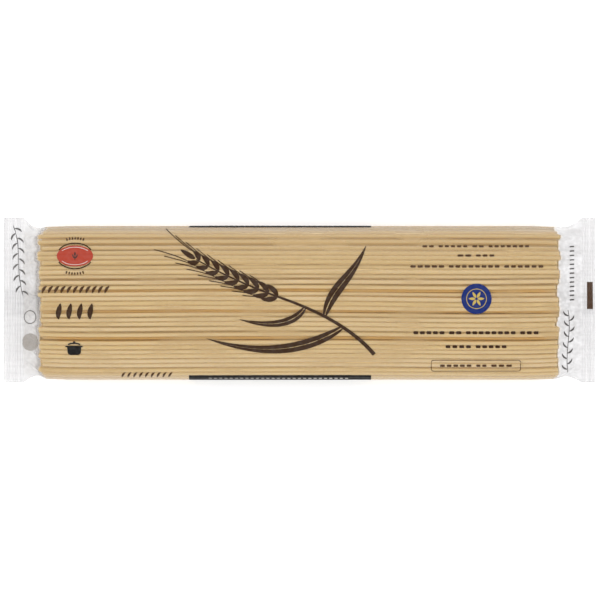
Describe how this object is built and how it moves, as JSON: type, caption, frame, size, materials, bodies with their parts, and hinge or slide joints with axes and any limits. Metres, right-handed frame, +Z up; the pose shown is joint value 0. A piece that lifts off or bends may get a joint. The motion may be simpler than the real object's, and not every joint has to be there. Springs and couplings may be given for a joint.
{
  "type": "pasta packet",
  "caption": "Clear film packet of long dry pasta lying flat, with strand ridges, pleated ends, flat crimped end seals and a folded back seam",
  "frame": {"origin": "on the surface that the packet lies on, under the middle of its outline", "axes": "X along the strands, Y across the packet, Z up out of the printed front"},
  "size_m": [0.293, 0.0812, 0.024],
  "materials": {
    "film": "thin clear glossy film with a milky bloom where it creases",
    "pasta": "dry, matt and slightly floury",
    "print_brown": "opaque ink under gloss film",
    "print_red": "opaque ink under gloss film",
    "print_blue": "opaque ink under gloss film",
    "print_black": "opaque ink under gloss film",
    "print_gold": "opaque ink under gloss film",
    "print_grey": "thin ink seen through the clear film ends"
  },
  "bodies": {
    "root": {"packet": "film"}
  },
  "joints": []
}
